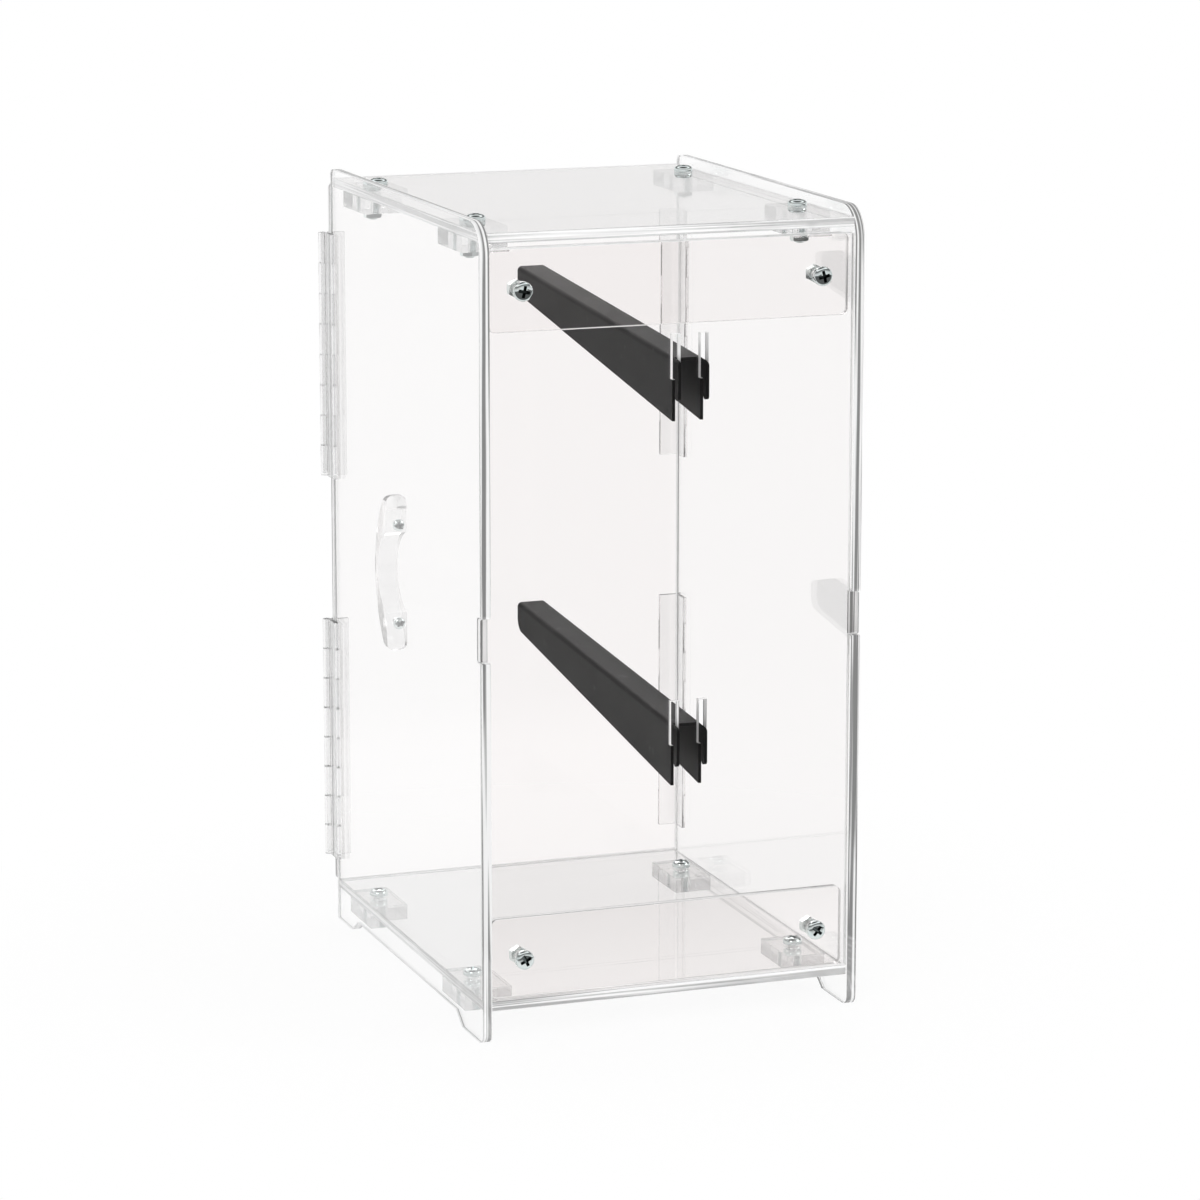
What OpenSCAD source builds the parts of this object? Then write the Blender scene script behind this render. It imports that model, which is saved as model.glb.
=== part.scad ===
// Countertop bread display bin: a clear acrylic case that is screwed together
// from flat sheets, with two hook-in hanging rails and a hinged rear door.
//
// Frame: X across the case, Y from the serving front (-Y) to the door (+Y),
// Z up from the counter. The origin is under the middle of the whole object,
// the rail hooks at the front and the door handle at the back included.

/* [Case] */
// Width over the two side panels
case_w = 245; // [225:5:300]
// Depth of the side panels, front edge to back edge
case_d = 300; // [270:5:360]
// Height of the side panels, counter to top edge
case_h = 500; // [480:5:600]
// Thickness of every acrylic sheet
sheet_t = 6; // [5:0.5:8]
// Setback of the front, top and bottom panels from the side panels' front edge
front_inset = 2; // [1:0.5:4]
// Height of the side panels' top edge above the top panel
ear_h = 6; // [5:1:12]
// Clear height under the bottom panel
base_clear_h = 20; // [18:1:30]

/* [Side panels] */
// Radius of the top front corner
top_front_r = 20; // [8:1:30]
// Radius of the top back corner
top_back_r = 5; // [3:1:12]
// Radius of the bottom front corner
foot_front_r = 7; // [3:1:10]
// Length of the front foot on the counter
front_foot_l = 40; // [30:1:60]
// Length of the back foot on the counter
back_foot_l = 31; // [25:1:60]
// Run of the slanted side of each foot
foot_slant = 12; // [6:1:20]
// Height of the arch between the feet
arch_h = 8; // [5:1:10]
// Height of the notch in the front edge above the counter, at its middle
notch_z = 250; // [215:5:300]

/* [Front panel and strips] */
// Height of the tab at each side of the front panel
tab_h = 27; // [18:1:40]
// Air gap between the front panel and the top panel
vent_gap = 4; // [2:0.5:8]
// Height of the two stiffening strips behind the front panel
strip_h = 50; // [35:1:60]
// Radius of the tab's outer corners
tab_r = 1.5; // [0.5:0.5:2.5]
// Air gap between each end of a strip and the side panel
strip_end_gap = 2; // [1:0.5:4]
// Radius of the strips' corners
strip_r = 4; // [1:0.5:8]

/* [Rails] */
// Place of the rails across the case, from its middle
rail_x = 11; // [-40:1:40]
// Distance of the upper slots' sill below the top strip
upper_sill_drop = 33; // [33:1:60]
// Distance between the sills of the upper and the lower slots
rail_pitch = 225; // [180:5:240]
// Width of a rail over its flanges
rail_w = 20; // [14:1:40]
// Thickness of the bent sheet metal
rail_t = 2; // [1.5:0.5:3]
// Inside radius of the bends along the rail's top
bend_r = 1; // [0.5:0.5:2]
// Free distance between the rail's end and the case's back edge
rail_end_gap = 8; // [5:1:40]
// Height of the flanges below the sill at the front end
flange_drop = 26; // [18:1:34]
// Height of the channel at the free end
rail_back_h = 18; // [14:1:24]
// Rise of the rail's top from its front end to its free end
rail_rise = 19; // [8:1:24]
// Radius of the lower corner of the flanges at the free end
rail_corner_r = 9; // [4:1:12]
// Height of the neck that passes through the slot
neck_h = 12.5; // [8:0.5:16]
// Depth of the hook in front of the panel
hook_d = 5; // [3:0.5:8]
// Length of the hook below the slot's sill
hook_drop = 12.5; // [6:0.5:14]
// Radius of the hook's upper front corner
hook_top_r = 4; // [2:0.5:5]
// Width of a slot in the front panel
slot_w = 5; // [4:0.5:8]
// Free height in the slot above the neck, which lets the rail lift off
slot_lift = 15; // [14.5:0.5:20]

/* [Door] */
// Air gap between the case's back edge and the door
door_gap = 1; // [0.5:0.5:2]
// Amount by which each door edge stays inside the case's side faces
door_edge_inset = 0.5; // [0.5:0.5:1]
// Height of the door's bottom edge above the counter
door_bottom_z = 25; // [10:1:40]
// Distance of the door's top edge below the side panels' top edge
door_top_drop = 10; // [4:1:20]
// Radius of the door's corners
door_r = 3; // [1:0.5:8]

/* [Hinges] */
// Length of each hinge
hinge_l = 160; // [120:8:176]
// Distance between the middles of the upper and the lower hinge
hinge_pitch = 256; // [200:2:270]
// Number of knuckles of one hinge, both leaves together
knuckle_n = 8; // [4:2:12]
// Air gap between two knuckles, and between a knuckle and the other leaf
knuckle_gap = 0.3; // [0.2:0.1:0.5]
// Diameter of the barrel
barrel_d = 5.5; // [5:0.1:7]
// Diameter of the hinge rod
rod_d = 2.4; // [2:0.1:3]
// Radial play of the rod in its bore
rod_play = 0.05; // [0.03:0.01:0.08]
// Thickness of a leaf
leaf_t = 2.5; // [1.5:0.1:2.5]
// Width of a leaf from the rod's axis to its edge
leaf_w = 18; // [14:0.5:26]
// Floor that closes the bore of the lowest knuckle
rod_floor = 1.5; // [1:0.5:3]

/* [Handle] */
// Distance of the handle from the door's left edge
handle_inset = 48; // [30:1:90]
// Height of the handle's middle above the counter
handle_z = 230; // [150:5:330]
// Overall length of the handle
handle_l = 104; // [94:2:130]
// Width of the handle's strip
handle_w = 14; // [11:1:24]
// Radius of the corners of the handle's ends
handle_r = 4.5; // [2:0.5:5]
// Thickness of the handle in its middle
handle_t = 5; // [4.5:0.5:8]
// Thickness of the handle at its two ends
handle_tip_t = 4; // [3:0.5:6]
// Distance between the two handle screws
handle_pitch = 66; // [62:1:72]
// Length of the bow on the door's face, inside
bow_l = 54; // [46:1:56]
// Finger room under the bow
bow_rise = 20; // [14:1:22]

/* [Fasteners] */
// Diameter of the case screws
screw_d = 6; // [4:1:6]
// Diameter of the case screws' pan heads
screw_head_d = 12; // [10:0.5:13]
// Height of the case screws' pan heads
screw_head_h = 4.4; // [3:0.1:4.6]
// Width of the nuts across their flats
nut_af = 10; // [9:0.5:11]
// Height of the nuts
nut_h = 5; // [4:0.5:6]
// Length of a screw beyond its nut
screw_tail = 1; // [0.5:0.5:2]
// Diameter of the handle screws
handle_screw_d = 4; // [3:0.5:5]
// Diameter of the handle screws' heads
handle_head_d = 8; // [6:0.5:10]
// Height of the handle screws' heads
handle_head_h = 3; // [2:0.1:4]
// Depth of the screw's thread in the handle's foot
handle_thread_l = 4; // [3:0.5:4]
// Diametral play of a screw in its hole
hole_play = 0.6; // [0.2:0.1:1]
// Distance of the front screws from the case's side faces
front_screw_inset = 27; // [20:1:45]
// Length of a mounting block along the side panel
block_l = 45; // [25:1:60]
// Width of a mounting block, from the side panel inwards
block_w = 25; // [20:1:34]
// Height of a mounting block
block_h = 10; // [8:0.5:11]
// Distance of the front mounting blocks' middle from the case's front edge
front_block_y = 62; // [50:1:100]
// Distance of the back mounting blocks' middle from the case's back edge
back_block_y = 45; // [35:1:100]

/* [Hidden] */

$fn = 64;
// Surplus of a cutting shape beyond the face that it opens
cut = 1;
// Air gap that keeps the rails' hooks and the tabs free of the panels
fit_gap = 0.3;

CLEAR = [0.86, 0.93, 0.96, 0.35];
BLACK = [0.06, 0.06, 0.07];
ZINC = [0.78, 0.80, 0.82];

LEFT = -1;
RIGHT = 1;

// Reach of the object beyond the side panels' front and back edges
front_reach = max(0, hook_d + fit_gap - front_inset, screw_head_h - front_inset);
back_reach = door_gap + sheet_t + bow_rise + handle_t;
front_y = -case_d / 2 + (front_reach - back_reach) / 2;
back_y = front_y + case_d;

inner_w = case_w - 2 * sheet_t;
floor_z = base_clear_h + sheet_t;
top_panel_z = case_h - ear_h - sheet_t;
front_top_z = top_panel_z - vent_gap;
panel_y = front_y + front_inset;
strip_y = panel_y + sheet_t;
nut_y = strip_y + sheet_t;
notch_h = tab_h + 2 * fit_gap;

strip_screw_x = case_w / 2 - front_screw_inset;
strip_bottoms = [floor_z, front_top_z - strip_h];
upper_sill_z = strip_bottoms[1] - upper_sill_drop;
lower_sill_z = upper_sill_z - rail_pitch;
block_screw_x = inner_w / 2 - block_w / 2;
block_ys = [front_y + front_block_y, back_y - back_block_y];
top_block_z = top_panel_z - block_h;
bottom_block_z = base_clear_h - block_h;
screw_hole_d = screw_d + hole_play;
block_screw_l = sheet_t + block_h + nut_h + screw_tail;
front_screw_l = 2 * sheet_t + nut_h + screw_tail;

// Rail outline, in depth from the side panels' front edge and in height from the sill
flange_x = rail_w / 2 - rail_t / 2;
rail_front = front_inset + sheet_t + fit_gap;
rail_back = case_d - rail_end_gap;
top_slope = rail_rise / (rail_back - rail_front);
rail_low = neck_h + rail_rise - rail_back_h;
low_slope = (rail_low + flange_drop) / (rail_back - rail_front);
channel_h = neck_h + flange_drop + rail_rise;
hook_back = front_inset - fit_gap;
hook_front = hook_back - hook_d;
slot_h = neck_h + slot_lift;

door_y = back_y + door_gap;
door_w = case_w - 2 * door_edge_inset;
door_h = case_h - door_top_drop - door_bottom_z;
door_face_y = door_y + sheet_t;

// Hinge axis, from the middle of the case; the barrel is tangent to both outer faces
hinge_x = case_w / 2 + barrel_d / 2;
hinge_y = door_face_y + barrel_d / 2;
bore_d = rod_d + 2 * rod_play;
knuckle_pitch = hinge_l / knuckle_n;
upper_hinge_z = (case_h + hinge_pitch - hinge_l) / 2;
lower_hinge_z = (case_h - hinge_pitch - hinge_l) / 2;

handle_x = -door_w / 2 + handle_inset;
bow_inner_r = (pow(bow_l / 2, 2) + pow(bow_rise, 2)) / (2 * bow_rise);
bow_centre = bow_rise - bow_inner_r;

// ---------------------------------------------------------------- helpers

// Extrudes an outline drawn in Y and Z along +X
module along_x(t) {
    rotate([90, 0, 90]) linear_extrude(t) children();
}

// Extrudes an outline drawn in X and Z along +Y
module along_y(t) {
    translate([0, t, 0]) rotate([90, 0, 0]) linear_extrude(t) children();
}

// What a rounded corner takes off a sheet whose corner lies at the origin
module corner_waste(r) {
    difference() {
        translate([-cut, -cut]) square(r + cut);
        translate([r, r]) circle(r);
    }
}

// A w by h sheet, centred on X and standing on z = 0, with four rounded corners
module rounded_sheet(w, h, r) {
    difference() {
        translate([-w / 2, 0]) square([w, h]);
        for (sx = [0, 1], sz = [0, 1]) {
            translate([(2 * sx - 1) * w / 2, sz * h]) mirror([sx, 0]) mirror([0, sz]) corner_waste(r);
        }
    }
}

// A pan-head screw with its head's seat at the origin and its shank along -Z
module pan_screw(d, head_d, head_h, length) {
    crown_r = (pow(head_d / 2, 2) + pow(head_h, 2)) / (2 * head_h) + head_h / 2;
    recess_w = head_d * 0.13;
    difference() {
        union() {
            translate([0, 0, -length]) cylinder(d = d, h = length);
            intersection() {
                cylinder(d = head_d, h = head_h);
                translate([0, 0, head_h - crown_r]) sphere(crown_r);
            }
        }
        for (turn = [0, 90]) {
            rotate(turn) translate([-head_d * 0.27, -recess_w / 2, head_h * 0.45]) {
                cube([head_d * 0.54, recess_w, head_h]);
            }
        }
    }
}

// A hexagon nut that stands on z = 0
module hex_nut() {
    difference() {
        cylinder(d = nut_af / cos(30), h = nut_h, $fn = 6);
        translate([0, 0, -cut]) cylinder(d = screw_d + hole_play / 2, h = nut_h + 2 * cut);
    }
}

// ---------------------------------------------------------------- case

module side_outline() {
    difference() {
        square([case_d, case_h]);
        translate([0, case_h]) mirror([0, 1]) corner_waste(top_front_r);
        translate([case_d, case_h]) mirror([1, 0]) mirror([0, 1]) corner_waste(top_back_r);
        corner_waste(foot_front_r);
        polygon([
            [front_foot_l, -cut],
            [front_foot_l, 0],
            [front_foot_l + foot_slant, arch_h],
            [case_d - back_foot_l - foot_slant, arch_h],
            [case_d - back_foot_l, 0],
            [case_d - back_foot_l, -cut],
        ]);
        translate([-cut, notch_z - notch_h / 2]) square([cut + front_inset + sheet_t, notch_h]);
    }
}

module side_panel(side) {
    color(CLEAR) translate([side * (case_w - sheet_t) / 2 - sheet_t / 2, front_y, 0]) {
        along_x(sheet_t) side_outline();
    }
}

module side_left() {
    side_panel(LEFT);
}

module side_right() {
    side_panel(RIGHT);
}

// Top and bottom panel: a sheet between the sides, drilled above each mounting block
module level_panel(z) {
    color(CLEAR) translate([0, 0, z]) linear_extrude(sheet_t) difference() {
        translate([-inner_w / 2, panel_y]) square([inner_w, back_y - panel_y]);
        for (side = [LEFT, RIGHT], y = block_ys) {
            translate([side * block_screw_x, y]) circle(d = screw_hole_d);
        }
    }
}

module top_panel() {
    level_panel(top_panel_z);
}

module bottom_panel() {
    level_panel(base_clear_h);
}

module front_screw_holes() {
    for (side = [LEFT, RIGHT], z = strip_bottoms) {
        translate([side * strip_screw_x, z + strip_h / 2]) circle(d = screw_hole_d);
    }
}

module rail_slots() {
    for (side = [LEFT, RIGHT], sill = [upper_sill_z, lower_sill_z]) {
        translate([rail_x + side * flange_x - slot_w / 2, sill]) square([slot_w, slot_h]);
    }
}

module front_panel() {
    color(CLEAR) translate([0, panel_y, 0]) along_y(sheet_t) difference() {
        union() {
            translate([-inner_w / 2, floor_z]) square([inner_w, front_top_z - floor_z]);
            translate([0, notch_z - tab_h / 2]) rounded_sheet(case_w, tab_h, tab_r);
        }
        front_screw_holes();
        rail_slots();
    }
}

// Stiffening strip behind the front panel, almost from one side panel to the other
module cross_strip(z) {
    color(CLEAR) translate([0, strip_y, 0]) along_y(sheet_t) difference() {
        translate([0, z]) rounded_sheet(inner_w - 2 * strip_end_gap, strip_h, strip_r);
        front_screw_holes();
    }
}

module top_strip() {
    cross_strip(strip_bottoms[1]);
}

module bottom_strip() {
    cross_strip(strip_bottoms[0]);
}

// Drilled block that joins a side panel to the top or the bottom panel
module mounting_block(side, y, z) {
    color(CLEAR) translate([side * block_screw_x, y, z]) linear_extrude(block_h) difference() {
        square([block_w, block_l], center = true);
        circle(d = screw_hole_d);
    }
}

module block_top_front_left() {
    mounting_block(LEFT, block_ys[0], top_block_z);
}

module block_top_front_right() {
    mounting_block(RIGHT, block_ys[0], top_block_z);
}

module block_top_back_left() {
    mounting_block(LEFT, block_ys[1], top_block_z);
}

module block_top_back_right() {
    mounting_block(RIGHT, block_ys[1], top_block_z);
}

module block_bottom_front_left() {
    mounting_block(LEFT, block_ys[0], bottom_block_z);
}

module block_bottom_front_right() {
    mounting_block(RIGHT, block_ys[0], bottom_block_z);
}

module block_bottom_back_left() {
    mounting_block(LEFT, block_ys[1], bottom_block_z);
}

module block_bottom_back_right() {
    mounting_block(RIGHT, block_ys[1], bottom_block_z);
}

// ---------------------------------------------------------------- fasteners

// Places its child over each mounting block, at height z
module at_blocks(z) {
    for (side = [LEFT, RIGHT], y = block_ys) {
        translate([side * block_screw_x, y, z]) children();
    }
}

// Places its child on each front screw's axis, at depth y, with its +Z to the front
module at_front_screws(y) {
    for (side = [LEFT, RIGHT], z = strip_bottoms) {
        translate([side * strip_screw_x, y, z + strip_h / 2]) rotate([90, 0, 0]) children();
    }
}

module top_screws() {
    color(ZINC) at_blocks(top_panel_z + sheet_t) pan_screw(screw_d, screw_head_d, screw_head_h, block_screw_l);
}

module top_nuts() {
    color(ZINC) at_blocks(top_block_z - nut_h) hex_nut();
}

module bottom_screws() {
    color(ZINC) at_blocks(floor_z) pan_screw(screw_d, screw_head_d, screw_head_h, block_screw_l);
}

module bottom_nuts() {
    color(ZINC) at_blocks(bottom_block_z - nut_h) hex_nut();
}

module front_screws() {
    color(ZINC) at_front_screws(panel_y) pan_screw(screw_d, screw_head_d, screw_head_h, front_screw_l);
}

module front_nuts() {
    color(ZINC) at_front_screws(nut_y + nut_h) hex_nut();
}

// ---------------------------------------------------------------- rails

function arc_points(centre, r, from, to, steps) =
    [for (i = [0 : steps]) let (a = from + (to - from) * i / steps) centre + r * [cos(a), sin(a)]];

// Side view of the flanges: their lower edge climbs to the free end; the bends cut their top
module flange_outline() {
    lean = atan(low_slope);
    corner_y = rail_back - rail_corner_r;
    corner_z = low_slope * (corner_y - rail_front) - flange_drop + rail_corner_r / cos(lean);
    top = neck_h + rail_rise + cut;
    polygon(concat(
        [[rail_front, top], [rail_front, -flange_drop]],
        arc_points([corner_y, corner_z], rail_corner_r, lean - 90, 0, 10),
        [[rail_back, top]]
    ));
}

// Bar of width w with two rounded upper edges, whose top lies at z = 0 and runs along +Y
module round_top_bar(w, r, length) {
    along_y(length) difference() {
        translate([-w / 2, -channel_h]) square([w, channel_h]);
        for (side = [0, 1]) {
            mirror([side, 0]) translate([-w / 2, 0]) mirror([0, 1]) corner_waste(r);
        }
    }
}

// Lays its child along the rail's sloping top, from well before its front end
module along_rail_top() {
    translate([0, rail_front, neck_h]) rotate([atan(top_slope), 0, 0]) translate([0, -channel_h, 0]) children();
}

// Neck that rests on the slot's sill, and hook that hangs down in front of the panel; the
// bends cut their top
module hook_outline() {
    tip_r = hook_d / 2;
    front_top = neck_h - top_slope * (rail_front - hook_front);
    translate([hook_front + tip_r, tip_r - hook_drop]) circle(tip_r);
    difference() {
        union() {
            translate([hook_front, tip_r - hook_drop]) square([hook_d, neck_h + cut + hook_drop - tip_r]);
            translate([hook_back - cut, 0]) square([rail_front + 2 * cut - hook_back, neck_h + cut]);
        }
        translate([hook_front, front_top]) mirror([0, 1]) corner_waste(hook_top_r);
        translate([hook_front - cut, front_top]) square([cut + hook_top_r, 3 * cut]);
    }
}

module rail(sill) {
    color(BLACK) translate([rail_x, front_y, sill]) difference() {
        intersection() {
            union() {
                translate([-rail_w / 2, 0, 0]) along_x(rail_w) flange_outline();
                for (side = [LEFT, RIGHT]) {
                    translate([side * flange_x - rail_t / 2, 0, 0]) along_x(rail_t) hook_outline();
                }
            }
            along_rail_top() round_top_bar(rail_w, bend_r + rail_t, rail_back + 2 * channel_h);
        }
        along_rail_top() translate([0, 0, -rail_t]) {
            round_top_bar(rail_w - 2 * rail_t, bend_r, rail_back + 2 * channel_h);
        }
    }
}

module upper_rail() {
    rail(upper_sill_z);
}

module lower_rail() {
    rail(lower_sill_z);
}

// ---------------------------------------------------------------- door

// Places its child at each handle screw, around the handle's middle
module at_handle_screws() {
    for (end = [-1, 1]) {
        translate([handle_x, 0, handle_z + end * handle_pitch / 2]) children();
    }
}

module door() {
    color(CLEAR) difference() {
        translate([0, door_y, door_bottom_z]) along_y(sheet_t) rounded_sheet(door_w, door_h, door_r);
        at_handle_screws() translate([0, door_y - cut, 0]) along_y(sheet_t + 2 * cut) {
            circle(d = handle_screw_d + hole_play);
        }
    }
}

// Side view of the handle, outwards from the door's face: one bow from end to end, whose
// thick feet lie on the door above and below the finger room
module bow_outline() {
    outer_rise = bow_rise + handle_t - handle_tip_t;
    outer_r = (pow(handle_l / 2, 2) + pow(outer_rise, 2)) / (2 * outer_rise);
    difference() {
        translate([bow_rise + handle_t - outer_r, 0]) circle(outer_r, $fn = 128);
        translate([bow_centre, 0]) circle(bow_inner_r, $fn = 128);
        translate([-2 * outer_r, -outer_r]) square(2 * outer_r);
    }
}

module handle() {
    color(CLEAR) difference() {
        translate([0, door_face_y, handle_z]) intersection() {
            translate([handle_x - handle_w / 2 - cut, 0, 0]) along_x(handle_w + 2 * cut) bow_outline();
            translate([handle_x, -cut, -handle_l / 2]) along_y(bow_rise + handle_t + 2 * cut) {
                rounded_sheet(handle_w, handle_l, handle_r);
            }
        }
        at_handle_screws() translate([0, door_face_y - cut, 0]) along_y(cut + handle_thread_l + fit_gap) {
            circle(d = handle_screw_d + hole_play / 2);
        }
    }
}

module handle_screws() {
    color(ZINC) at_handle_screws() translate([0, door_y, 0]) rotate([90, 0, 0]) {
        pan_screw(handle_screw_d, handle_head_d, handle_head_h, sheet_t + handle_thread_l);
    }
}

// ---------------------------------------------------------------- hinges

// One leaf with its knuckles, rod axis on Z: the plate runs along +X and its inner face is
// tangent to the barrel at y = -barrel_d / 2. It carries every second knuckle from first on.
module hinge_leaf(first) {
    plate_start = barrel_d / 2 + knuckle_gap;
    knuckle_h = knuckle_pitch - knuckle_gap;
    bore_start = first == 0 ? rod_floor : -cut;
    difference() {
        union() {
            translate([plate_start, -barrel_d / 2, 0]) cube([leaf_w - plate_start, leaf_t, hinge_l]);
            for (k = [first : 2 : knuckle_n - 1]) translate([0, 0, k * knuckle_pitch]) {
                cylinder(d = barrel_d, h = knuckle_h);
                translate([0, -barrel_d / 2, 0]) cube([plate_start + cut, leaf_t, knuckle_h]);
            }
        }
        translate([0, 0, bore_start]) cylinder(d = bore_d, h = hinge_l + 2 * cut);
    }
}

// The leaf on the door's outer face
module door_leaf(side, z) {
    color(CLEAR) translate([side * hinge_x, hinge_y, z]) {
        mirror([side == RIGHT ? 1 : 0, 0, 0]) hinge_leaf(1);
    }
}

// The leaf on the side panel's outer face: the same profile, turned to run to the front
module case_leaf(side, z) {
    color(CLEAR) translate([side * hinge_x, hinge_y, z]) {
        mirror([side == RIGHT ? 1 : 0, 0, 0]) mirror([1, 1, 0]) hinge_leaf(0);
    }
}

// Rod that stands on the closed bottom of the lowest knuckle
module hinge_rod(side, z) {
    color(CLEAR) translate([side * hinge_x, hinge_y, z + rod_floor]) {
        cylinder(d = rod_d, h = hinge_l - rod_floor - knuckle_gap);
    }
}

module left_upper_case_leaf() {
    case_leaf(LEFT, upper_hinge_z);
}

module left_lower_case_leaf() {
    case_leaf(LEFT, lower_hinge_z);
}

module left_upper_door_leaf() {
    door_leaf(LEFT, upper_hinge_z);
}

module left_lower_door_leaf() {
    door_leaf(LEFT, lower_hinge_z);
}

module left_upper_rod() {
    hinge_rod(LEFT, upper_hinge_z);
}

module left_lower_rod() {
    hinge_rod(LEFT, lower_hinge_z);
}

module right_upper_case_leaf() {
    case_leaf(RIGHT, upper_hinge_z);
}

module right_lower_case_leaf() {
    case_leaf(RIGHT, lower_hinge_z);
}

module right_upper_door_leaf() {
    door_leaf(RIGHT, upper_hinge_z);
}

module right_lower_door_leaf() {
    door_leaf(RIGHT, lower_hinge_z);
}

side_left();
side_right();
top_panel();
bottom_panel();
front_panel();
top_strip();
bottom_strip();
block_top_front_left();
block_top_front_right();
block_top_back_left();
block_top_back_right();
block_bottom_front_left();
block_bottom_front_right();
block_bottom_back_left();
block_bottom_back_right();
top_screws();
top_nuts();
bottom_screws();
bottom_nuts();
front_screws();
front_nuts();
upper_rail();
lower_rail();
door();
handle();
handle_screws();
left_upper_case_leaf();
left_lower_case_leaf();
left_upper_door_leaf();
left_lower_door_leaf();
left_upper_rod();
left_lower_rod();
right_upper_case_leaf();
right_lower_case_leaf();
right_upper_door_leaf();
right_lower_door_leaf();
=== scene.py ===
"""Countertop bread display bin: clear acrylic case with two black hanging rails and a rear door.

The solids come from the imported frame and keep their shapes. This file gives them their
finishes, eases their edges, and puts detailed screws and nuts in place of the plain ones.
"""

import math
from collections import namedtuple

import bmesh
import bpy
from mathutils import Matrix, Vector


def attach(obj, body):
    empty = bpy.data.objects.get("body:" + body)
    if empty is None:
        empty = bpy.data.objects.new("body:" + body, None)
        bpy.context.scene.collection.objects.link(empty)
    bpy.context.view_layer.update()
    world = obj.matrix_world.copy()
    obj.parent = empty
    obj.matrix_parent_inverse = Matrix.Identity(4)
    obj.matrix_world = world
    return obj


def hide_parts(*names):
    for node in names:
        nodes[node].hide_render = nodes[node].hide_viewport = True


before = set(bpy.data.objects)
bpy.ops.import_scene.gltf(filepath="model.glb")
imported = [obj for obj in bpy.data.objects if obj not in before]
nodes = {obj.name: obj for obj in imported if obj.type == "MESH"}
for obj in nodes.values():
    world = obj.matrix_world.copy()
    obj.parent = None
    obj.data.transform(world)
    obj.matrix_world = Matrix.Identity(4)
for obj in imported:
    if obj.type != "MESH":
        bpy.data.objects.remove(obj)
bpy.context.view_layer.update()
scene = bpy.context.scene

MM = 0.001
TURN = 2 * math.pi
X, Y, Z = range(3)

# ------------------------------------------------------------------ shader maths


class Socket:
    """A shader output that takes part in Python arithmetic."""

    def __init__(self, tree, link):
        self.tree = tree
        self.link = link

    def maths(self, operation, *operands):
        """A Math node on the operands, or on this socket alone."""
        values = dict(enumerate(operands or [self]))
        return self.tree.node("ShaderNodeMath", {"operation": operation}, values)

    def __add__(self, other):
        return self.maths("ADD", self, other)

    __radd__ = __add__

    def __sub__(self, other):
        return self.maths("SUBTRACT", self, other)

    def __rsub__(self, other):
        return self.maths("SUBTRACT", other, self)

    def __mul__(self, other):
        return self.maths("MULTIPLY", self, other)

    __rmul__ = __mul__

    def __gt__(self, other):
        return self.maths("GREATER_THAN", self, other)

    def at_most(self, other):
        return self.maths("MINIMUM", self, other)

    def at_least(self, other):
        return self.maths("MAXIMUM", self, other)

    def size(self):
        return self.maths("ABSOLUTE")

    def root(self):
        return self.maths("SQRT")

    def rising(self, start, slope):
        """Grows from 0 at start to 1, by slope."""
        return ((self - start) * slope).at_least(0.0).at_most(1.0)


class Finish:
    """A material, or the world, in the making."""

    def __init__(self, owner):
        owner.use_nodes = True
        self.owner = owner
        self.nodes = owner.node_tree.nodes
        self.links = owner.node_tree.links
        self.nodes.clear()

    def node(self, kind, settings=None, values=None, out=0):
        """Adds a node: its settings first, then its sockets' values or links."""
        made = self.nodes.new(kind)
        for name, value in (settings or {}).items():
            if name == "stops":
                self.set_stops(made.color_ramp, value)
            else:
                setattr(made, name, value)
        for key, value in (values or {}).items():
            if isinstance(value, Socket):
                self.links.new(value.link, made.inputs[key])
            else:
                made.inputs[key].default_value = value
        return Socket(self, made.outputs[out])

    @staticmethod
    def set_stops(ramp, stops):
        """Fills a ramp, which starts with two stops, with (place, colour) pairs."""
        for index, (place, colour) in enumerate(stops):
            stop = ramp.elements[index] if index < 2 else ramp.elements.new(place)
            stop.position = place
            stop.color = colour

    def place(self):
        """The point of the surface, in the object's own metres."""
        return self.node("ShaderNodeTexCoord", out="Object")

    def stretched(self, scale):
        """The point of the surface with each axis scaled."""
        return self.node("ShaderNodeMapping", values={"Vector": self.place(), "Scale": scale})

    def noise(self, scale, detail=2.0, roughness=0.5, vector=None):
        """Cloudy values around 0.5; scale counts the clouds in a metre."""
        values = {"Scale": scale, "Detail": detail, "Roughness": roughness}
        values["Vector"] = vector or self.place()
        return self.node("ShaderNodeTexNoise", values=values)

    def parts(self, vector):
        """The X, Y and Z of a vector."""
        split = self.node("ShaderNodeSeparateXYZ", values={"Vector": vector})
        outputs = split.link.node.outputs
        return [Socket(self, outputs[axis]) for axis in (X, Y, Z)]

    def blend(self, share, first, second):
        """The first colour where share is 0, the second where it is 1."""
        settings = {"data_type": "RGBA", "clamp_factor": True}
        values = {0: share, 6: first, 7: second}
        return self.node("ShaderNodeMix", settings, values, out=2)

    def bump(self, height, strength, distance):
        values = {"Height": height, "Strength": strength, "Distance": distance}
        return self.node("ShaderNodeBump", values=values)

    def ray(self, name):
        """1 for a ray of the named kind and 0 for others, or the named count."""
        return self.node("ShaderNodeLightPath", out=name)

    def mix(self, share, first, second):
        """The first shader where share is 0, the second where it is 1."""
        return self.node("ShaderNodeMixShader", values={0: share, 1: first, 2: second})

    def surface(self, shader, kind="ShaderNodeOutputMaterial"):
        """Ends the tree in the shader, and gives the finished material or world."""
        self.links.new(shader.link, self.nodes.new(kind).inputs["Surface"])
        return self.owner


def new_finish(name):
    return Finish(bpy.data.materials.new(name))


def grey(level, warmth=0.0):
    """A neutral colour, with a little warmth or, below zero, coolness."""
    return (level + warmth, level, level - warmth, 1)


# ------------------------------------------------------------------ finishes

ACRYLIC_IOR = 1.49
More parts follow.
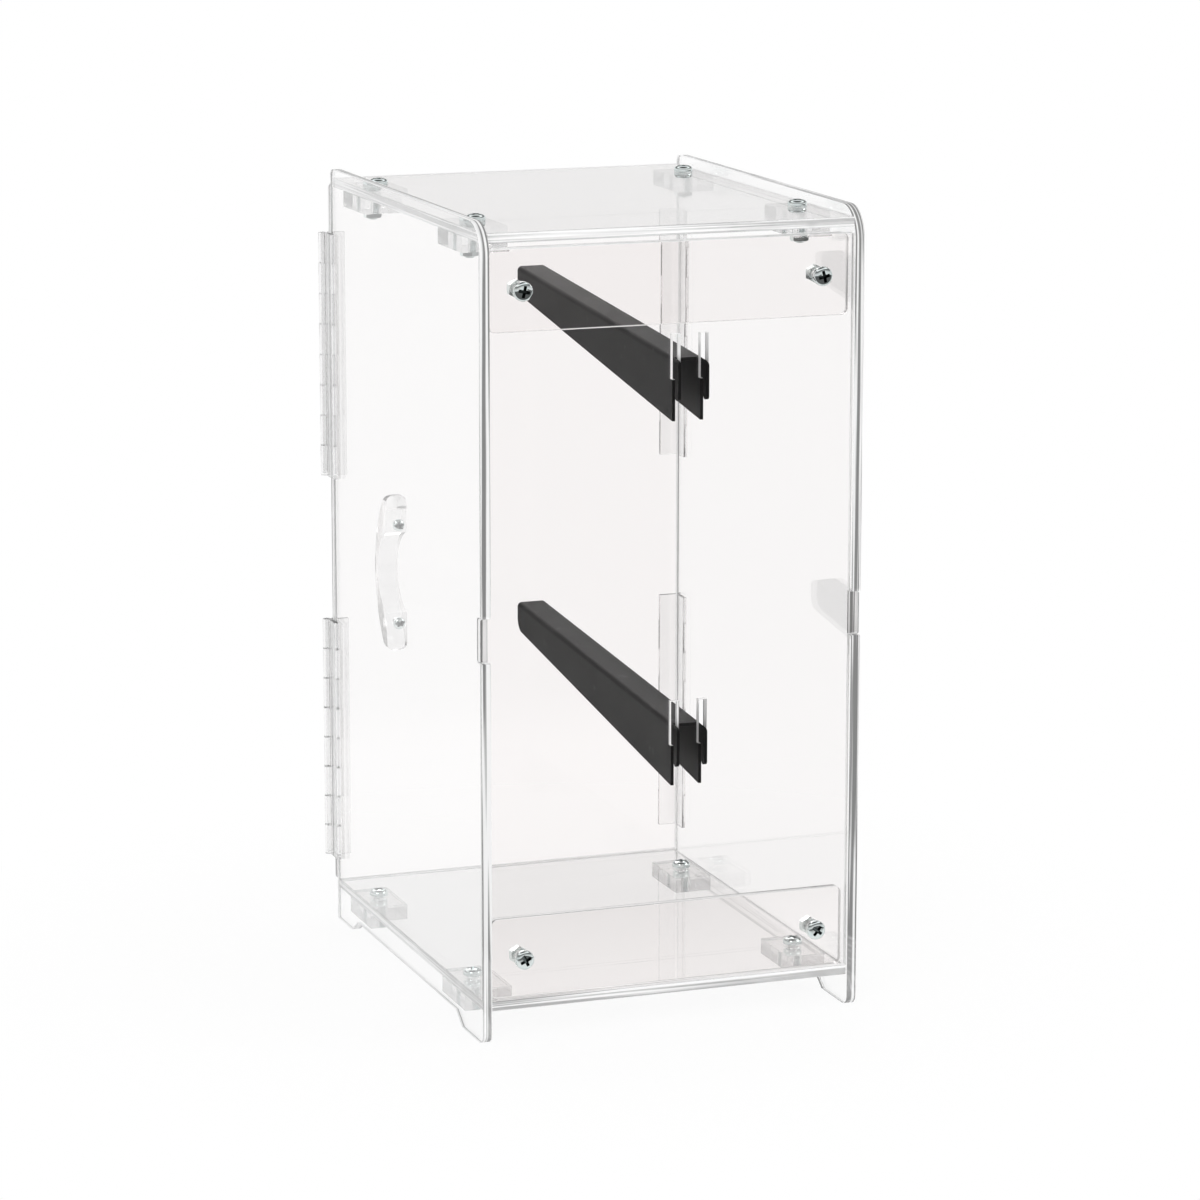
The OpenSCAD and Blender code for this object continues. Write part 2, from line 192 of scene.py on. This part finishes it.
# The sheets mirror the room a little less than bare acrylic does
SHEET_IOR = 1.38
SHEET_TINT = grey(0.985)
EDGE_TINT = grey(0.9, -0.003)
CLEAR_SHADE = grey(0.93)
# The saw left lines on the cut edges, close together across the sheet and long along it
SAW_LINES_ACROSS = 480.0
SAW_LINES_ALONG = 4.0


def let_lamps_through(finish, shader):
    """Clear plastic that rays from lamps and soft bounces cross without being bent."""
    crossing = finish.ray("Is Shadow Ray").at_least(finish.ray("Is Diffuse Ray"))
    plain = finish.node("ShaderNodeBsdfTransparent", values={"Color": CLEAR_SHADE})
    return finish.mix(crossing, shader, plain)


def acrylic_sheet(name, thin, haze, milk, tint=SHEET_TINT, ior=SHEET_IOR, mirror=0.88):
    """Cast acrylic: polished faces, and cut edges that stay a little hazy and streaked.

    thin is the axis on which the sheet is thin. haze, 0 to 1, says how milky the cut edges
    are, and milk how light they are between the saw's lines. mirror dims what the polished
    faces mirror.
    """
    finish = new_finish(name)
    normal = finish.node("ShaderNodeTexCoord", out="Normal")
    edge = 1 - (finish.parts(normal)[thin].size() > 0.5)
    scale = [SAW_LINES_ALONG] * 3
    scale[thin] = SAW_LINES_ACROSS
    saw_lines = finish.noise(1.0, vector=finish.stretched(scale)).rising(0.43, 9.0)
    smears = (finish.noise(9.0, detail=3.0, roughness=0.6) - 0.56).at_least(0.0)
    bump = finish.bump(saw_lines * edge, strength=0.25, distance=0.1 * MM)
    polished = finish.node("ShaderNodeBsdfPrincipled", values={
        "Base Color": finish.blend(edge, tint, EDGE_TINT),
        "Roughness": edge * (0.05 + saw_lines * 0.1) + smears * 0.05,
        "IOR": ior,
        "Specular Tint": grey(mirror),
        "Transmission Weight": 1.0,
        "Normal": bump,
    })
    hazy = finish.node("ShaderNodeBsdfPrincipled", values={
        "Base Color": finish.blend(saw_lines, grey(milk), grey(1.0)),
        "Roughness": 0.35,
        "Normal": bump,
    })
    milkiness = edge * (haze * 0.7 + saw_lines * (haze * 0.3))
    sheet = finish.mix(milkiness, polished, hazy)
    return finish.surface(let_lamps_through(finish, sheet))


def moulded_clear(name, tint):
    """Injection-moulded clear plastic with a faintly uneven skin."""
    finish = new_finish(name)
    waves = finish.noise(120.0)
    shader = finish.node("ShaderNodeBsdfPrincipled", values={
        "Base Color": finish.blend(waves, tint, CLEAR_SHADE),
        "Roughness": 0.015 + waves * 0.05,
        "IOR": ACRYLIC_IOR,
        "Transmission Weight": 1.0,
        "Normal": finish.bump(waves, strength=0.06, distance=0.4 * MM),
    })
    return finish.surface(let_lamps_through(finish, shader))


def powder_coat(name):
    """Satin black powder coat on sheet steel: an orange-peel skin with lighter rubbed spots."""
    finish = new_finish(name)
    peel = finish.noise(900.0)
    cloud = finish.noise(14.0, detail=3.0, roughness=0.55)
    rubbed = finish.noise(70.0, detail=5.0, roughness=0.75).rising(0.62, 9.0)
    coat = finish.blend(cloud, grey(0.005), grey(0.009))
    shader = finish.node("ShaderNodeBsdfPrincipled", values={
        "Base Color": finish.blend(rubbed, coat, grey(0.03)),
        "Roughness": 0.42 + cloud * 0.12 - rubbed * 0.1,
        "Specular IOR Level": 0.12,
        "Normal": finish.bump(peel, strength=0.35, distance=0.3 * MM),
    })
    return finish.surface(shader)


def zinc(name, dark, bright):
    """Zinc plating with a bluish cast, blotched from dark to bright, and fine scratches."""
    finish = new_finish(name)
    blotch = finish.noise(220.0, detail=3.0, roughness=0.6)
    along = finish.stretched([2400.0, 300.0, 300.0])
    scratches = finish.noise(1.0, detail=3.0, roughness=0.7, vector=along)
    shader = finish.node("ShaderNodeBsdfPrincipled", values={
        "Base Color": finish.blend(blotch, dark, bright),
        "Metallic": 1.0,
        "Roughness": 0.04 + blotch * 0.07 + scratches * 0.04,
        "Normal": finish.bump(scratches, strength=0.1, distance=0.05 * MM),
    })
    return finish.surface(shader)


# All the sheets are one clear acrylic. Their tints differ only by where each sheet faces, so the
# differences are painted light and shade laid over the acrylic's own faint colour
SIDE_SHEET = acrylic_sheet("acrylic_side_sheet", X, haze=0.85, milk=0.38, mirror=0.68)
UPRIGHT_SHEET = acrylic_sheet(
    "acrylic_upright_sheet", Y, haze=0.85, milk=0.45, tint=(1.0, 0.987, 0.984, 1)
)
# The top sheet's darker tint is painted shade
TOP_SHEET = acrylic_sheet(
    "acrylic_top_sheet", Z, haze=0.8, milk=0.5, tint=(0.905, 0.892, 0.89, 1), ior=ACRYLIC_IOR
)
BOTTOM_SHEET = acrylic_sheet(
    "acrylic_bottom_sheet", Z, haze=0.95, milk=0.65, tint=(1.0, 0.993, 0.99, 1)
)
BLOCK = acrylic_sheet("acrylic_block", Z, haze=0.1, milk=0.5, ior=ACRYLIC_IOR)
HINGE_PLASTIC = moulded_clear("clear_hinge_plastic", grey(0.97))
HANDLE_PLASTIC = moulded_clear("clear_handle_plastic", grey(0.96, -0.002))
POWDER_COAT = powder_coat("satin_black_powder_coat")
ZINC = zinc("bright_zinc_plate", dark=(0.58, 0.67, 0.68, 1), bright=(0.84, 0.86, 0.84, 1))
# Zinc made darker for the screws' driver recesses: painted shade in the hollows of the heads
ZINC_PAINTED_RECESS_SHADE = zinc("zinc_plate_painted_recess_shade", dark=(0.08, 0.10, 0.10, 1), bright=(0.20, 0.23, 0.23, 1))

# ------------------------------------------------------------------ carried-over solids

# Faces of clear solids that touch would render black, so each solid draws in by this much
AIR_FILM = 0.04 * MM
WELD_REACH = 0.002 * MM
EASED_ANGLE = math.radians(40)
SHEET_EASE = 0.3 * MM
HINGE_EASE = 0.15 * MM
HANDLE_EASE = 0.6 * MM
RAIL_EASE = 0.25 * MM

SHEETS = {
    "side_left": SIDE_SHEET,
    "side_right": SIDE_SHEET,
    "top_panel": TOP_SHEET,
    "bottom_panel": BOTTOM_SHEET,
    "front_panel": UPRIGHT_SHEET,
    "top_strip": UPRIGHT_SHEET,
    "bottom_strip": UPRIGHT_SHEET,
    "door": UPRIGHT_SHEET,
}


def dress(name, material, ease):
    """Gives a solid of the frame its finish, a film of air around it, and eased edges."""
    solid = nodes[name]
    solid.data.materials.clear()
    solid.data.materials.append(material)
    weld = solid.modifiers.new("joined_faces", "WELD")
    weld.merge_threshold = WELD_REACH
    shrink = solid.modifiers.new("air_film", "DISPLACE")
    shrink.mid_level = 0.0
    shrink.strength = -AIR_FILM
    bevel = solid.modifiers.new("eased_edges", "BEVEL")
    bevel.width = ease
    bevel.segments = 2
    bevel.limit_method = "ANGLE"
    bevel.angle_limit = EASED_ANGLE
    solid.modifiers.new("even_shading", "WEIGHTED_NORMAL").keep_sharp = True


for sheet_name, sheet_finish in SHEETS.items():
    dress(sheet_name, sheet_finish, SHEET_EASE)
for node_name in nodes:
    if node_name.startswith("block_"):
        dress(node_name, BLOCK, SHEET_EASE)
    elif node_name.endswith(("_leaf", "_rod")):
        dress(node_name, HINGE_PLASTIC, HINGE_EASE)
    elif node_name.endswith("_rail"):
        dress(node_name, POWDER_COAT, RAIL_EASE)
dress("handle", HANDLE_PLASTIC, HANDLE_EASE)

# ------------------------------------------------------------------ mesh helpers


def placed(name, data):
    """A new object in the scene."""
    made = bpy.data.objects.new(name, data)
    scene.collection.objects.link(made)
    return made


# The second material is the darker zinc that paints shade into the driver recesses
def mesh_of(name, bm, materials=(ZINC, ZINC_PAINTED_RECESS_SHADE)):
    """Turns bm into a mesh with the materials that its faces number, and frees it."""
    mesh = bpy.data.meshes.new(name)
    bm.to_mesh(mesh)
    bm.free()
    for material in materials:
        mesh.materials.append(material)
    return mesh


def ring(bm, steps, shape):
    """A closed row of vertices round Z; shape gives the radius and the height at an angle."""
    row = []
    for step in range(steps):
        angle = TURN * step / steps
        radius, height = shape(angle)
        row.append(bm.verts.new((radius * math.cos(angle), radius * math.sin(angle), height)))
    return row


def wall(bm, rings):
    """Faces from each ring to the next; a ring of one vertex makes a point."""
    for near, far in zip(rings, rings[1:]):
        for here in range(max(len(near), len(far))):
            after = here + 1
            corners = [
                near[here % len(near)],
                near[after % len(near)],
                far[after % len(far)],
                far[here % len(far)],
            ]
            bm.faces.new(list(dict.fromkeys(corners)))


def thread_groove(angle, height, pitch):
    """How deep a helical thread round Z is cut: from 1 to 0 and back in each pitch."""
    phase = (height / pitch - angle / TURN) % 1.0
    return abs(2 * phase - 1)


# ------------------------------------------------------------------ screws

ScrewSize = namedtuple("ScrewSize", "thread_d head_d head_h pitch")
M6 = ScrewSize(thread_d=6 * MM, head_d=12 * MM, head_h=4.4 * MM, pitch=1.0 * MM)
M4 = ScrewSize(thread_d=4 * MM, head_d=8 * MM, head_h=3.0 * MM, pitch=0.7 * MM)

HEAD_STEPS = 48
CROWN_ROWS = 8
HEAD_BEVEL = 0.3 * MM
SHANK_STEPS = 32
ROWS_PER_PITCH = 8
# Reach of a screw's shank into its head, so that no two faces lie in one plane
SHANK_OVERLAP = 0.3 * MM
# Over 1, makes the root of a screw's thread flat
ROOT_FLATNESS = 1.25
# Length and width of the driver recess at its floor, against those at its top
RECESS_TAPER = (0.6, 0.4)
SHARP_ANGLE = math.radians(32)


def head_profile(radius, height):
    """Pan head: a flat seat, a short upright rim, and a crown that rounds over to the top."""
    rim = height * 0.42
    shoulder = height * 0.94
    shoulder_radius = radius * 0.42
    dome = (radius * 0.2, height * 0.985)
    points = [(0, 0), (radius - HEAD_BEVEL, 0), (radius, HEAD_BEVEL), (radius, rim)]
    for row in range(1, CROWN_ROWS + 1):
        angle = math.radians(90) * row / CROWN_ROWS
        across = shoulder_radius + (radius - shoulder_radius) * math.cos(angle)
        points.append((across, rim + (shoulder - rim) * math.sin(angle)))
    return [*points, dome, (0, height)]


def uncut_head(name, size):
    """The solid of revolution of the head's profile."""
    bm = bmesh.new()
    rings = []
    for radius, height in head_profile(size.head_d / 2, size.head_h):
        steps = HEAD_STEPS if radius > 0 else 1
        rings.append(ring(bm, steps, lambda angle: (radius, height)))
    wall(bm, rings)
    bmesh.ops.recalc_face_normals(bm, faces=bm.faces)
    return mesh_of(name, bm)


def recess_bar(name, turn, size):
    """A tapering bar that cuts one slot of the driver recess; its faces take the darker zinc, which
    is painted shade in the recess.
    """
    length = size.head_d * 0.66
    width = size.head_d * 0.18
    floor = size.head_h * 0.35
    top = size.head_h * 1.05
    bm = bmesh.new()
    bmesh.ops.create_cube(bm, size=1.0)
    for vertex in bm.verts:
        along, across, level = (1.0, 1.0, top) if vertex.co.z > 0 else (*RECESS_TAPER, floor)
        vertex.co = (vertex.co.x * length * along, vertex.co.y * width * across, level)
    for face in bm.faces:
        # Painted shade: the faces that this bar cuts into a head take the darker zinc
        face.material_index = 1
    mesh = mesh_of(name, bm)
    mesh.transform(Matrix.Rotation(turn, 4, "Z"))
    return mesh


def cut_head(name, size):
    """A head on a seat at the origin, crown up, with a cross recess cut into its crown."""
    head = placed(name, uncut_head(name, size))
    bars = []
    for turn in (0, TURN / 4):
        bar = placed("recess", recess_bar("recess", turn, size))
        boolean = head.modifiers.new("recess", "BOOLEAN")
        boolean.operation = "DIFFERENCE"
        boolean.object = bar
        boolean.solver = "EXACT"
        bars.append(bar)
    bpy.context.view_layer.update()
    evaluated = head.evaluated_get(bpy.context.evaluated_depsgraph_get())
    mesh = bpy.data.meshes.new_from_object(evaluated)
    for helper in (head, *bars):
        bpy.data.objects.remove(helper)
    return mesh


def add_shank(bm, size, bottom):
    """A threaded shank from inside the head down to z = bottom, closed at both ends."""
    depth = size.pitch / 2
    drop = bottom - SHANK_OVERLAP
    rows = int(-drop / size.pitch * ROWS_PER_PITCH)

    def cut(angle, height):
        groove = thread_groove(angle, height, size.pitch)
        return depth * min(1.0, groove * ROOT_FLATNESS)

    rings = []
    for row in range(rows + 1):
        height = SHANK_OVERLAP + drop * row / rows
        crest = size.thread_d / 2
        if row == rows:
            crest -= depth
        rings.append(ring(bm, SHANK_STEPS, lambda angle: (crest - cut(angle, height), height)))
    wall(bm, rings)
    bm.faces.new(rings[0])
    bm.faces.new(list(reversed(rings[-1])))


def screw_mesh(name, size, length):
    """One pan-head screw: seat at the origin, crown up, shank of the given length down."""
    bm = bmesh.new()
    bm.from_mesh(cut_head(name + "_head", size))
    add_shank(bm, size, -length)
    return mesh_of(name, bm)


# ------------------------------------------------------------------ nuts

NUT_FLATS = 10 * MM
NUT_H = 5 * MM
NUT_BORE = 5.2 * MM
NUT_STEPS = 48
NUT_ROWS = 28
NUT_THREAD_DEPTH = 0.35 * MM
COUNTERSINK_DEPTH = 0.5 * MM
COUNTERSINK_REACH = 0.45 * MM
# A nut's round end faces reach almost to its flats, and the chamfer falls off from them
NUT_FACE_RADIUS = NUT_FLATS / 2 * 0.985
NUT_CHAMFER_SLOPE = math.tan(math.radians(30))
NUT_CHAMFER_EDGE = 0.02 * MM


def nut_mesh(name):
    """A hexagon nut on z = 0 with chamfered corners and a countersunk, threaded bore."""
    bm = bmesh.new()

    def side(angle):
        """Distance from the axis to the hexagon."""
        from_flat = (angle + TURN / 12) % (TURN / 6) - TURN / 12
        return NUT_FLATS / 2 / math.cos(from_flat)

    def chamfer(angle):
        """Height of the chamfer, which is largest at the hexagon's corners."""
        return (side(angle) - NUT_FACE_RADIUS) * NUT_CHAMFER_SLOPE + NUT_CHAMFER_EDGE

    def bore_radius(angle, height):
        from_end = min(height, NUT_H - height)
        flare = COUNTERSINK_REACH * max(0.0, 1 - from_end / COUNTERSINK_DEPTH)
        groove = NUT_THREAD_DEPTH * thread_groove(angle, height, M6.pitch)
        return NUT_BORE / 2 + max(groove, flare)

    bore = []
    for row in range(NUT_ROWS + 1):
        height = NUT_H * row / NUT_ROWS
        bore.append(ring(bm, NUT_STEPS, lambda angle: (bore_radius(angle, height), height)))
    wall(bm, bore)
    outside = [
        ring(bm, NUT_STEPS, lambda angle: (NUT_FACE_RADIUS, 0.0)),
        ring(bm, NUT_STEPS, lambda angle: (side(angle), chamfer(angle))),
        ring(bm, NUT_STEPS, lambda angle: (side(angle), NUT_H - chamfer(angle))),
        ring(bm, NUT_STEPS, lambda angle: (NUT_FACE_RADIUS, NUT_H)),
    ]
    wall(bm, [bore[0], *outside, bore[-1]])
    return mesh_of(name, bm)


# ------------------------------------------------------------------ fasteners in their places

# Turns that leave a crown looking up, or bring it round to the front (-Y)
UPRIGHT = Matrix.Identity(4)
FORWARD = Matrix.Rotation(TURN / 4, 4, "X")


def islands(node_name):
    """The lowest and highest corner of each loose solid of a node.

    They come from the bottom up, then from left to right and from front to back, to a tenth
    of a millimetre.
    """
    bm = bmesh.new()
    bm.from_mesh(nodes[node_name].data)
    bmesh.ops.remove_doubles(bm, verts=bm.verts, dist=0.001 * MM)
    left = set(bm.verts)
    boxes = []
    while left:
        reached = [left.pop()]
        group = []
        while reached:
            vertex = reached.pop()
            group.append(vertex.co.copy())
            for edge in vertex.link_edges:
                other = edge.other_vert(vertex)
                if other in left:
                    left.discard(other)
                    reached.append(other)
        low = Vector([min(point[axis] for point in group) for axis in (X, Y, Z)])
        high = Vector([max(point[axis] for point in group) for axis in (X, Y, Z)])
        boxes.append((low, high))
    bm.free()
    boxes.sort(key=lambda box: [round(box[0][axis] / MM, 1) for axis in (Z, X, Y)])
    return boxes


def length_along(box, turn):
    """A fastener's length, from the box of its plain solid."""
    low, high = box
    way = turn @ Vector((0, 0, 1))
    return abs((high - low).dot(way))


def fasten(node_name, mesh, turn, rise, body, spin=0.0):
    """Puts a copy of a mesh in place of each loose solid of a node, all of them in one piece.

    turn is the turn of their crowns, rise their height over the seat, and body what they ride
    on. Each is turned on its own axis by spin more than the one before it.
    """
    bm = bmesh.new()
    for count, (low, high) in enumerate(islands(node_name), start=1):
        above = length_along((low, high), turn) / 2 - rise
        seat = (low + high) / 2 + turn @ Vector((0, 0, above))
        copy = mesh.copy()
        copy.transform(Matrix.Translation(seat) @ turn @ Matrix.Rotation(spin * count, 4, "Z"))
        bm.from_mesh(copy)
        bpy.data.meshes.remove(copy)
    bmesh.ops.recalc_face_normals(bm, faces=bm.faces)
    for face in bm.faces:
        face.smooth = True
    name = node_name + "_detailed"
    piece = placed(name, mesh_of(name, bm))
    piece.data.set_sharp_from_angle(angle=SHARP_ANGLE)
    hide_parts(node_name)
    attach(piece, body)


# Each node's screw size, crowns' turn, body, and turn in radians from one cross to the next
SCREWS = {
    "top_screws": (M6, UPRIGHT, "case", 0.7),
    "bottom_screws": (M6, UPRIGHT, "case", 1.1),
    "front_screws": (M6, FORWARD, "case", 0.45),
    "handle_screws": (M4, FORWARD, "door", 0.9),
}
for screws, (size, turn, body, spin) in SCREWS.items():
    shank_length = length_along(islands(screws)[0], turn) - size.head_h
    screw = screw_mesh(screws, size, shank_length)
    fasten(screws, screw, turn, size.head_h, body, spin)

nut = nut_mesh("nut")
for nuts, turn in {"top_nuts": UPRIGHT, "bottom_nuts": UPRIGHT, "front_nuts": FORWARD}.items():
    fasten(nuts, nut, turn, NUT_H, "case")

# ------------------------------------------------------------------ floor, light and camera

CASE_MIDDLE = Vector((0, 0, 0.25))
# Half the floor's width, in metres
FLOOR_REACH = 20.0
# Brightness of the even room, which the soft boxes bring up to a plain level
ROOM_LEVEL = 0.7
# Brightness of the floor in front of the case, as mirror surfaces see it
MIRRORED_FLOOR = 0.12
# The floor by the case ends this far off its middle, and fades into the rest at this rate
FLOOR_BY_CASE = 0.25
FLOOR_FADE = 5.0
# Share of white glow in the floor by the case; what is left is matt and takes the shadow
GLOW_BY_CASE = 0.86
# Brightness of the room as mirror surfaces see it, from the horizon, 0, to straight up, 1
MIRRORED_ROOM = [
    (0.0, grey(0.95)),
    (0.14, grey(0.84)),
    (0.3, grey(0.6)),
    (0.45, grey(0.18)),
    (0.6, grey(0.18)),
    (0.7, grey(1.2)),
    (0.82, grey(1.2)),
    (0.92, grey(0.06)),
]


def floor_finish():
    """White to the eye, with the case's shadow; dim in front for mirrors; clear from below."""
    finish = new_finish("white_floor")
    eye = finish.ray("Is Camera Ray").at_least(finish.ray("Is Glossy Ray"))
    eye = eye.at_least(finish.ray("Is Transmission Ray"))
    matt = finish.node("ShaderNodeBsdfDiffuse", values={"Color": grey(0.95)})
    x, y = finish.parts(finish.place())[:2]
    in_front = (-1 * y).rising(FLOOR_BY_CASE, FLOOR_FADE)
    white = finish.node("ShaderNodeEmission", values={"Color": grey(1.0)})
    dim = finish.node("ShaderNodeEmission", values={"Color": grey(MIRRORED_FLOOR)})
    glow = finish.mix((finish.ray("Glossy Depth") > 0.5) * in_front, white, dim)
    away = (x * x + y * y).root().rising(FLOOR_BY_CASE, FLOOR_FADE)
    glowing = away * (1 - GLOW_BY_CASE) + GLOW_BY_CASE
    seen_from_above = finish.mix(eye * glowing, matt, glow)
    clear = finish.node("ShaderNodeBsdfTransparent", values={"Color": grey(1.0)})
    from_below = finish.node("ShaderNodeNewGeometry", out="Backfacing")
    material = finish.surface(finish.mix(from_below, seen_from_above, clear))
    material.cycles.emission_sampling = "NONE"
    return material


def white_floor():
    """A flat floor under the case, far wider than any view of it."""
    bm = bmesh.new()
    bmesh.ops.create_grid(bm, x_segments=1, y_segments=1, size=FLOOR_REACH)
    placed("floor", mesh_of("floor", bm, [floor_finish()]))


def studio_world():
    """An even room for matt surfaces; white to the eye; darker and contrasty in mirror surfaces."""
    room = Finish(bpy.data.worlds.new("studio"))
    direction = room.node("ShaderNodeTexCoord", out="Generated")
    height = room.parts(direction)[Z]
    tone = room.node("ShaderNodeValToRGB", {"stops": MIRRORED_ROOM}, {0: height})
    mirrored = room.node("ShaderNodeBackground", values={"Color": tone})
    plain = room.node("ShaderNodeBackground", values={"Color": grey(ROOM_LEVEL)})
    white = room.node("ShaderNodeBackground", values={"Color": grey(1.0)})
    eye = room.ray("Is Camera Ray").at_least(room.ray("Is Transmission Ray"))
    seen = room.mix(room.ray("Glossy Depth") > 0.5, room.mix(eye, plain, white), mirrored)
    scene.world = room.surface(seen, "ShaderNodeOutputWorld")


def aim(thing, place, sight):
    """Puts a lamp or a camera at a place and turns it to look along sight."""
    thing.location = place
    thing.rotation_euler = sight.to_track_quat("-Z", "Y").to_euler()


def soft_box(name, place, target, width, height, power):
    """An area lamp in metres and watts that mirror surfaces don't show."""
    lamp = bpy.data.lights.new(name, "AREA")
    lamp.shape = "RECTANGLE"
    lamp.size = width
    lamp.size_y = height
    lamp.energy = power
    box = placed(name, lamp)
    box.visible_glossy = False
    aim(box, place, target - Vector(place))


def photo_camera():
    """The photograph's view: its angles in radians, its distance in metres, its frame in pixels."""
    azimuth = 0.348
    elevation = 0.204
    distance = 2.9119
    focal_px = 4574.0
    frame_px = 1200
    centre_px = (580.75, 575.65)
    sight = Vector((
        math.sin(azimuth) * math.cos(elevation),
        math.cos(azimuth) * math.cos(elevation),
        -math.sin(elevation),
    ))
    data = bpy.data.cameras.new("camera")
    data.sensor_width = 36
    data.lens = focal_px / frame_px * data.sensor_width
    data.shift_x = (frame_px / 2 - centre_px[0]) / frame_px
    data.shift_y = (centre_px[1] - frame_px / 2) / frame_px
    scene.camera = placed("camera", data)
    aim(scene.camera, CASE_MIDDLE - sight * distance, sight)


white_floor()
studio_world()
soft_box("key_box", (-1.6, -1.8, 2.0), CASE_MIDDLE, width=1.2, height=1.2, power=26)
soft_box("fill_box", (2.0, -1.0, 1.4), CASE_MIDDLE, width=1.4, height=1.0, power=14)
soft_box("back_box", (0.4, 2.2, 1.6), Vector((0, 0, 0.3)), width=1.6, height=1.0, power=12)
photo_camera()

# A ray crosses many clear sheets on its way through the case
scene.cycles.max_bounces = 32
scene.cycles.transmission_bounces = 32
scene.cycles.transparent_max_bounces = 32
scene.cycles.glossy_bounces = 8
scene.view_settings.view_transform = "Standard"
